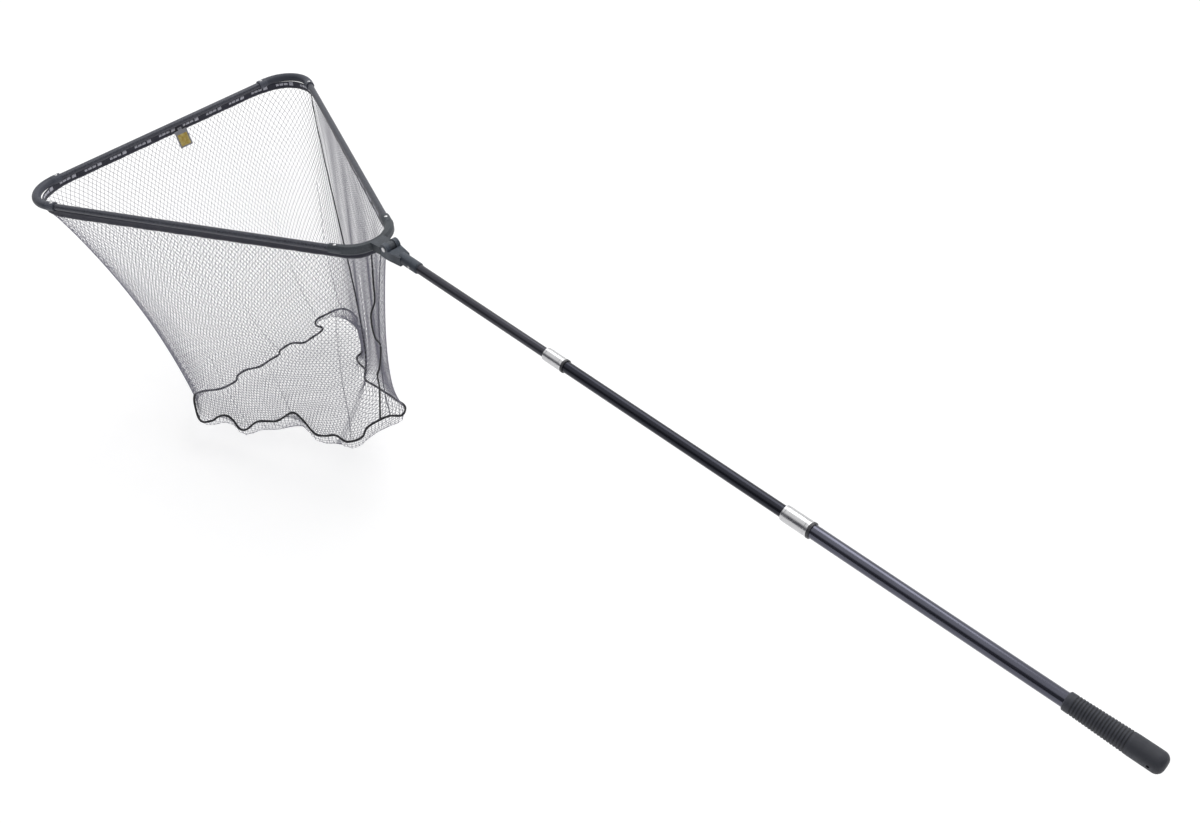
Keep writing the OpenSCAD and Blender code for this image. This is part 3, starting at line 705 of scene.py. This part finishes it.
def wall_strands():
    r = np.arange(HALF_ROWS + 1)
    i = np.arange(STRANDS)
    c = (i[None] + 0.5 * (r[:, None] % 2)) / STRANDS
    v = np.broadcast_to((r / HALF_ROWS)[:, None], c.shape)
    P = net_point(c, v)
    du = np.roll(P, -1, 1) - np.roll(P, 1, 1)
    dv = np.gradient(P, axis=0)
    N = unit(np.cross(du, dv))
    right = (i[:, None] + (r // 2)[None]) % STRANDS
    left = (i[:, None] - ((r + 1) // 2)[None]) % STRANDS
    parts = []
    for idx in (right, left):
        rr = np.broadcast_to(r[None], idx.shape)
        parts.append(strand_mesh(P[rr, idx], N[rr, idx]))
    return join(parts)


wv, wq, wt = wall_strands()
net_wall = mesh_piece("net_wall", wv, wq, M["net"], tris=wt)
print("wall strands", len(net_wall.data.polygons))


# ------------------------------------------------------------------ the bottom panel: membrane with sag
def inside(poly, x, y):
    res = np.zeros(x.shape, bool)
    n = len(poly)
    for i in range(n):
        x1, y1 = poly[i][:2]
        x2, y2 = poly[(i + 1) % n][:2]
        if y1 == y2:
            continue
        cond = ((y1 > y) != (y2 > y)) & (x < (x2 - x1) * (y - y1) / (y2 - y1) + x1)
        res ^= cond
    return res


LOOP, LOOP_LEN = curve_points(BIND, True, 0.006)


def simple_loop():
    """The binding's outline from above, without the small overhangs."""
    q = LOOP.copy()
    for _ in range(3):
        q = 0.25 * np.roll(q, 1, 0) + 0.5 * q + 0.25 * np.roll(q, -1, 0)
    return q


OUT = LOOP
step = 0.007
gx = np.arange(OUT[:, 0].min() - 3 * step, OUT[:, 0].max() + 3 * step, step)
gy = np.arange(OUT[:, 1].min() - 3 * step, OUT[:, 1].max() + 3 * step, step)
GX, GY = np.meshgrid(gx, gy, indexing="ij")
INSIDE = inside(OUT, GX, GY)


def nearest_z(x, y):
    d = (x[..., None] - OUT[:, 0]) ** 2 + (y[..., None] - OUT[:, 1]) ** 2
    return OUT[np.argmin(d, -1), 2], np.sqrt(d.min(-1))


Z_EDGE, D_EDGE = nearest_z(GX, GY)


def relax(start, mask, source, n):
    z = start.copy()
    for _ in range(n):
        s = 0.25 * (np.roll(z, 1, 0) + np.roll(z, -1, 0) + np.roll(z, 1, 1) + np.roll(z, -1, 1)) + source
        z = np.where(mask, z + 1.0 * (s - z), z)
    return z


Z0 = relax(Z_EDGE, INSIDE, 0.0, 900)
PHI = relax(np.zeros_like(Z0), INSIDE, 1.0, 900)
PHI = PHI / PHI.max()
depth = np.interp(GX, [-2.18, -2.0, -1.72], [0.042, 0.060, 0.075])
rip = smooth_noise(5, (2, 9), (-6, 6))
Z_BOT = Z0 - depth * PHI**0.3 + 0.004 * rip((GX + 2.2) / 0.55, (GY + 0.25) / 0.5) * PHI**0.4
Z_BOT = np.maximum(Z_BOT, -0.6585 + 0.15 * (Z_BOT + 0.6585))


def bottom_z(x, y):
    fx, fy = (x - gx[0]) / step, (y - gy[0]) / step
    i0 = np.clip(np.floor(fx).astype(int), 0, len(gx) - 2)
    j0 = np.clip(np.floor(fy).astype(int), 0, len(gy) - 2)
    tx, ty = fx - i0, fy - j0
    z = Z_BOT
    return (z[i0, j0] * (1 - tx) + z[i0 + 1, j0] * tx) * (1 - ty) + (z[i0, j0 + 1] * (1 - tx) + z[i0 + 1, j0 + 1] * tx) * ty


BAND_A, BAND_B, BAND_W = np.array([-1.93, 0.095]), np.array([-1.775, -0.125]), 0.010


def in_band(x, y):
    """Inside the narrow strip of doubled netting, where two panels overlap."""
    t = (BAND_B - BAND_A) / np.linalg.norm(BAND_B - BAND_A)
    return np.abs((x - BAND_A[0]) * t[1] - (y - BAND_A[1]) * t[0]) < BAND_W


def bottom_strands(band=False):
    sx, sy = (0.0033, 0.00285) if band else (0.0066, 0.0057)
    cx, cy = (-1.9017, 0.0021) if band else (-1.9, 0.0)
    parts = []
    for sign in (1, -1):
        for k in range(-120, 121):
            xs = cx + np.arange(-120, 121) * sx
            ys = cy + sign * (xs - cx) * (sy / sx) + k * 2 * sy
            ok = inside(OUT, xs, ys)
            if band:
                ok &= in_band(xs, ys)
            i = 0
            while i < len(xs):
                if not ok[i]:
                    i += 1
                    continue
                j = i
                while j + 1 < len(xs) and ok[j + 1]:
                    j += 1
                xr, yr = list(xs[i:j + 1]), list(ys[i:j + 1])
                for end, near, far in () if band else ((0, i, i - 1), (1, j, j + 1)):
                    if 0 <= far < len(xs):
                        a, b = np.array([xs[near], ys[near]]), np.array([xs[far], ys[far]])
                        for _ in range(9):
                            h = (a + b) / 2
                            if inside(OUT, np.array([h[0]]), np.array([h[1]]))[0]:
                                a = h
                            else:
                                b = h
                        if end:
                            xr.append(a[0])
                            yr.append(a[1])
                        else:
                            xr.insert(0, a[0])
                            yr.insert(0, a[1])
                xr, yr = np.array(xr), np.array(yr)
                if len(xr) >= 3:
                    z = bottom_z(xr, yr)
                    if band:
                        z = z + 0.0014
                    else:
                        ze, _ = nearest_z(xr[[0, -1]], yr[[0, -1]])
                        z[0], z[-1] = ze
                    p = np.column_stack([xr, yr, z])
                    e = 0.004
                    nx = (bottom_z(xr - e, yr) - bottom_z(xr + e, yr)) / (2 * e)
                    ny = (bottom_z(xr, yr - e) - bottom_z(xr, yr + e)) / (2 * e)
                    n = unit(np.column_stack([nx, ny, np.ones_like(nx)]))
                    parts.append(strand_mesh(p[None], n[None]))
                i = j + 1
    return join(parts)


bv, bq, bt = join([bottom_strands(), bottom_strands(True)])
net_bottom = mesh_piece("net_bottom_panel", bv, bq, M["net"], tris=bt)
print("bottom strands", len(net_bottom.data.polygons))

# ------------------------------------------------------------------ binding and seams
wob = np.sin(np.arange(len(LOOP)) * 0.9) * 0.0002
binding = tube("binding_cord", LOOP, 0.0026 + wob, M["binding"], closed=True, sides=8)


def along_wall(u0, u1, v0, v1, n, out, wave=0.0):
    v = np.linspace(v0, v1, n)
    s = np.linspace(0, 1, n)
    u = u0 + (u1 - u0) * s + wave * np.sin(s * 17) / HEM_LEN
    return wall_at(u, v) + wall_normal(u, v) * out


corner_line = along_wall(u_of_key(5), u_of_key(4, 0.55), 0.0, 1.0, 70, 0.001)
seam_corner = tube("seam_front_corner", corner_line, np.interp(np.linspace(0, 1, 70), [0, 0.35, 0.7, 1], [0.0011, 0.0015, 0.0023, 0.0027]), M["binding"], sides=8)
rear_pts = np.array([(-1698, -4, -27), (-1695, -9, -70), (-1693, -13, -102), (-1691, -18, -152), (-1690, -33, -182), (-1688, -33, -238), (-1687, -22, -271),
                     (-1687, -33, -326), (-1687, -41, -340), (-1688, -40, -384), (-1689, -45, -430), (-1690, -49, -473)]) / 1000
rear_line, _ = curve_points(rear_pts, False, 0.007)
seam_rear = tube("seam_rear", rear_line, 0.0021, M["binding"], sides=8)
edge_line = along_wall(u_of_key(3, 0.5), u_of_key(3, 0.5), 0.0, 1.0, 60, 0.0012)
seam_edge = tube("seam_rear_edge", edge_line, 0.0011, M["thread"], sides=6)

# ------------------------------------------------------------------ hem tape, its stitches and its woven marks
TAPE_PATH, TAPE_LEN = curve_points(np.vstack([top_ay]), True, 0.007)


def tape_side(i_ay):
    """Unit vector across the tape, towards the inside of the head, at each path point."""
    t = unit(np.roll(i_ay, -1, 0) - np.roll(i_ay, 1, 0))
    n = np.column_stack([-t[:, 1], t[:, 0]])
    c = np.array([0.6, 0.0])
    flip = np.sign(((c - i_ay) * n).sum(1))[:, None]
    return n * np.where(flip == 0, 1, flip)


TAPE_N = tape_side(TAPE_PATH)


def tape_point(i, off, d):
    """Point at path index i (float), off towards the inside, d below the tube axis."""
    n = len(TAPE_PATH)
    i = np.asarray(i, float)
    i0 = np.floor(i).astype(int)
    f = (i - i0)[..., None]
    p = TAPE_PATH[i0 % n] * (1 - f) + TAPE_PATH[(i0 + 1) % n] * f
    q = TAPE_N[i0 % n] * (1 - f) + TAPE_N[(i0 + 1) % n] * f
    wave = 0.0006 * np.sin(i * 0.55) + 0.0004 * np.sin(i * 1.31 + 1.0)
    o = off + wave * np.clip((np.asarray(d) - 0.008) / 0.02, 0, 1)
    ay = p + q * np.asarray(o)[..., None]
    return pt(ay[..., 0], ay[..., 1], d)


def tape_mesh():
    n = len(TAPE_PATH)
    t = 0.00062
    section = [(-t, 0.0066), (-t, 0.0115), (-t, 0.0172), (-t * 1.9, 0.0188), (-t * 2.1, 0.0228), (-t * 1.3, 0.0243), (t * 1.3, 0.0243), (t * 2.1, 0.0228),
               (t * 1.9, 0.0188), (t, 0.0172), (t, 0.0115), (t, 0.0066)]
    k = len(section)
    i = np.arange(n)
    ring = np.stack([tape_point(i, np.full(n, o), np.full(n, d)) for o, d in section], 1)
    A = (i[:, None] * k + np.arange(k)[None]).ravel()
    B = (i[:, None] * k + (np.arange(k)[None] + 1) % k).ravel()
    C = (((i[:, None] + 1) % n) * k + (np.arange(k)[None] + 1) % k).ravel()
    D = (((i[:, None] + 1) % n) * k + np.arange(k)[None]).ravel()
    return ring.reshape(-1, 3), np.column_stack([A, B, C, D])


tv, tq = tape_mesh()
tape = mesh_piece("hem_tape", tv, tq, M["tape"])


def stitch_mesh():
    n = len(TAPE_PATH)
    per = n / int(TAPE_LEN / 0.0052)
    parts = []
    for side in (-1, 1):
        s = np.arange(int(TAPE_LEN / 0.0052)) * per
        a = tape_point(s, np.full(len(s), side * 0.0014), np.full(len(s), 0.0208))
        m = tape_point(s + per * 0.3, np.full(len(s), side * 0.0018), np.full(len(s), 0.0208))
        b = tape_point(s + per * 0.6, np.full(len(s), side * 0.0014), np.full(len(s), 0.0208))
        path = np.stack([a, m, b], 1)
        global TWINE
        keep, TWINE = TWINE, 0.0004
        nrm = np.zeros_like(path)
        nrm[..., 2] = 1
        parts.append(strand_mesh(path, nrm))
        TWINE = keep
    return join(parts)


sv, sq, st = stitch_mesh()
stitches = mesh_piece("hem_stitches", sv, sq, M["thread"], tris=st)


def mark_mesh():
    """Woven marks on the inner face: a small square and a plain dash, at an even pitch."""
    n = len(TAPE_PATH)
    per = n / TAPE_LEN
    pitch = 0.0640
    verts, quads = [], []

    def patch(s0, s1, d0, d1):
        m = 5
        i = np.linspace(s0, s1, m) * per
        off_in, off_out = 0.00095, 0.0003
        rows = []
        for d in (d0, d1):
            for o in (off_out, off_in):
                rows.append(tape_point(i, np.full(m, o), np.full(m, d)))
        base = sum(len(v) for v in verts)
        verts.append(np.vstack(rows))
        r = [base + k * m for k in range(4)]   # 0 top back, 1 top front, 2 low back, 3 low front
        for j in range(m - 1):
            quads.append((r[1] + j, r[1] + j + 1, r[3] + j + 1, r[3] + j))
            quads.append((r[0] + j + 1, r[0] + j, r[2] + j, r[2] + j + 1))
            quads.append((r[0] + j, r[0] + j + 1, r[1] + j + 1, r[1] + j))
            quads.append((r[3] + j, r[3] + j + 1, r[2] + j + 1, r[2] + j))
        quads.append((r[0], r[1], r[3], r[2]))
        quads.append((r[1] + m - 1, r[0] + m - 1, r[2] + m - 1, r[3] + m - 1))

    count = int(TAPE_LEN / pitch)
    for k in range(count):
        s = (k + 0.35) * TAPE_LEN / count
        patch(s, s + 0.0105, 0.0086, 0.0172)
        patch(s + 0.0145, s + 0.0235, 0.0102, 0.0160)
        patch(s + 0.0255, s + 0.0345, 0.0102, 0.0160)
        patch(s + 0.0365, s + 0.0430, 0.0102, 0.0160)
    return np.vstack(verts), np.array(quads)


mv, mq = mark_mesh()
marks = mesh_piece("tape_marks", mv, mq, M["print"], smooth=False)

# ------------------------------------------------------------------ riding with the head as it folds, own meshes, hidden stand-ins
soft = [net_wall, net_bottom, binding, seam_corner, seam_rear, seam_edge]
for o in soft + [tape, stitches, marks]:
    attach(o, "head")
anchor = tuple(float(x) for x in pt(0.5, 0.0, 0.026))
for o in soft:
    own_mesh(o)
# the spring shortens as the bolt is drawn back on it
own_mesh(NODES["lock_spring"])
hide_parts("net_front", "net_left", "net_right", "net_corner_left", "net_corner_right", "net_rear")
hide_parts("net_bottom")
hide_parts("binding_bottom")
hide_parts("seam_right")
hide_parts("seam_left")
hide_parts("tape_left", "tape_right", "tape_front")


def half_surface(o):
    me = o.data
    a = np.zeros(len(me.polygons))
    me.polygons.foreach_get("area", a)
    return float(a.sum()) / 2


print("half surfaces", half_surface(net_wall), half_surface(net_bottom), half_surface(tape), "tape", TAPE_LEN, "loop", LOOP_LEN)

# ------------------------------------------------------------------ floor, light
bpy.ops.mesh.primitive_plane_add(size=40, location=(-1.2, 0, -0.672))
floor = bpy.context.object
floor.name = "floor"
fm, fnt, fb = tree("floor")
fb.inputs["Base Color"].default_value = (0.52, 0.52, 0.522, 1)
fb.inputs["Roughness"].default_value = 0.9
fb.inputs["Specular IOR Level"].default_value = 0.1
fb.inputs["Emission Color"].default_value = (1, 1, 1, 1)
fb.inputs["Emission Strength"].default_value = 0.56
floor.data.materials.append(fm)

world = bpy.data.worlds.new("studio")
bpy.context.scene.world = world
world.use_nodes = True
wn = world.node_tree
bg = wn.nodes["Background"]
tcw = node(wn, "ShaderNodeTexCoord")
dot = node(wn, "ShaderNodeVectorMath", operation="DOT_PRODUCT")
dot.inputs[1].default_value = (-0.45, 0.62, 0.64)
wn.links.new(tcw.outputs["Generated"], dot.inputs[0])
glow = remap(wn, dot.outputs["Value"], 0.02, 0.34, 0.0, 1.0, True)
room = mix(wn, glow, (0.10, 0.10, 0.115), (1.0, 1.0, 1.0))
lp = node(wn, "ShaderNodeLightPath")
wn.links.new(mix(wn, lp.outputs["Is Camera Ray"], room, (1.0, 1.0, 1.0)), bg.inputs["Color"])
bg.inputs["Strength"].default_value = 1.0


def area(name, loc, target, size, power):
    l = bpy.data.lights.new(name, "AREA")
    l.shape, l.size, l.energy = "DISK", size, power
    o = bpy.data.objects.new(name, l)
    o.location = loc
    o.rotation_mode = "QUATERNION"
    o.rotation_quaternion = (Vector(target) - Vector(loc)).to_track_quat("-Z", "Y")
    bpy.context.scene.collection.objects.link(o)
    return o


area("key", (-2.6, 2.2, 3.4), (-1.2, 0, -0.1), 3.0, 60)
area("fill", (1.6, -2.4, 2.6), (-1.0, 0, 0), 2.2, 12)

vs = bpy.context.scene.view_settings
vs.view_transform = "Standard"
vs.look = "None"
vs.exposure = 0.0
vs.gamma = 1.0
